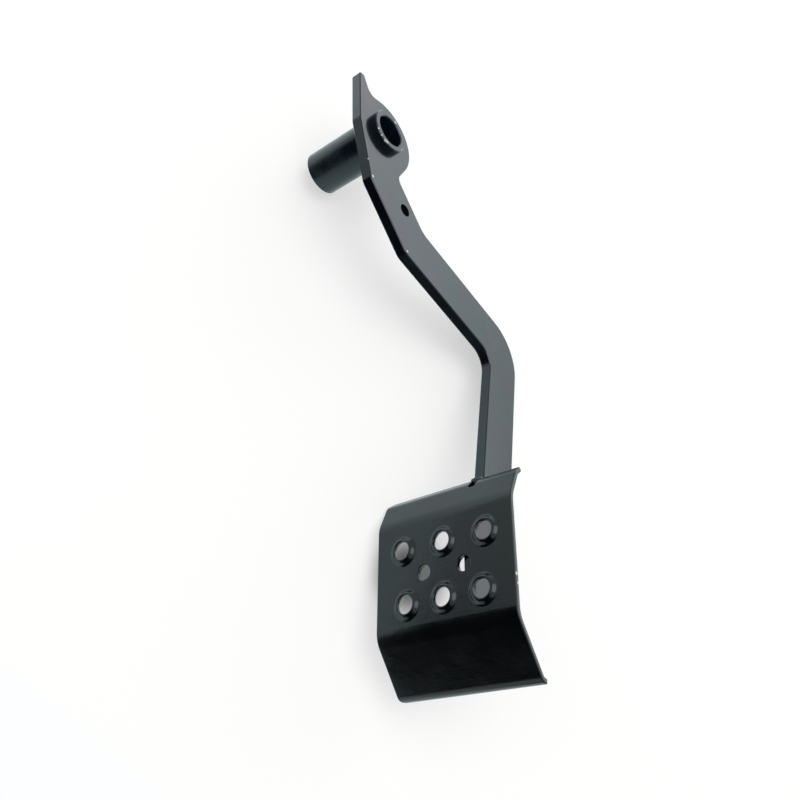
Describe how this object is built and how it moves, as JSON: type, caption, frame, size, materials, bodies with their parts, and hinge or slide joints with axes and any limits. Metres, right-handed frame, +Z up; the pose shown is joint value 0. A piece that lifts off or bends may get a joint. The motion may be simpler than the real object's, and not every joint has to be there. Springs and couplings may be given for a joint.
{
  "type": "brake pedal",
  "caption": "Hanging brake pedal: cranked flat steel arm welded to a pivot tube and a folded foot pad with raised grip holes, painted black.",
  "frame": {"origin": "middle of the pivot bore, on its axis", "axes": "+X forward, away from the foot; +Y left, along the pivot bore; +Z up, with the pad's face leaning back 30 degrees"},
  "size_m": [0.1339, 0.0841, 0.3352],
  "materials": {
    "black_paint": "satin black paint over welded steel"
  },
  "bodies": {
    "root": {"arm": "black_paint", "pivot_tube": "black_paint", "foot_pad": "black_paint", "pivot_weld": "black_paint", "pad_weld_left": "black_paint", "pad_weld_right": "black_paint", "lip_weld": "black_paint"}
  },
  "joints": []
}
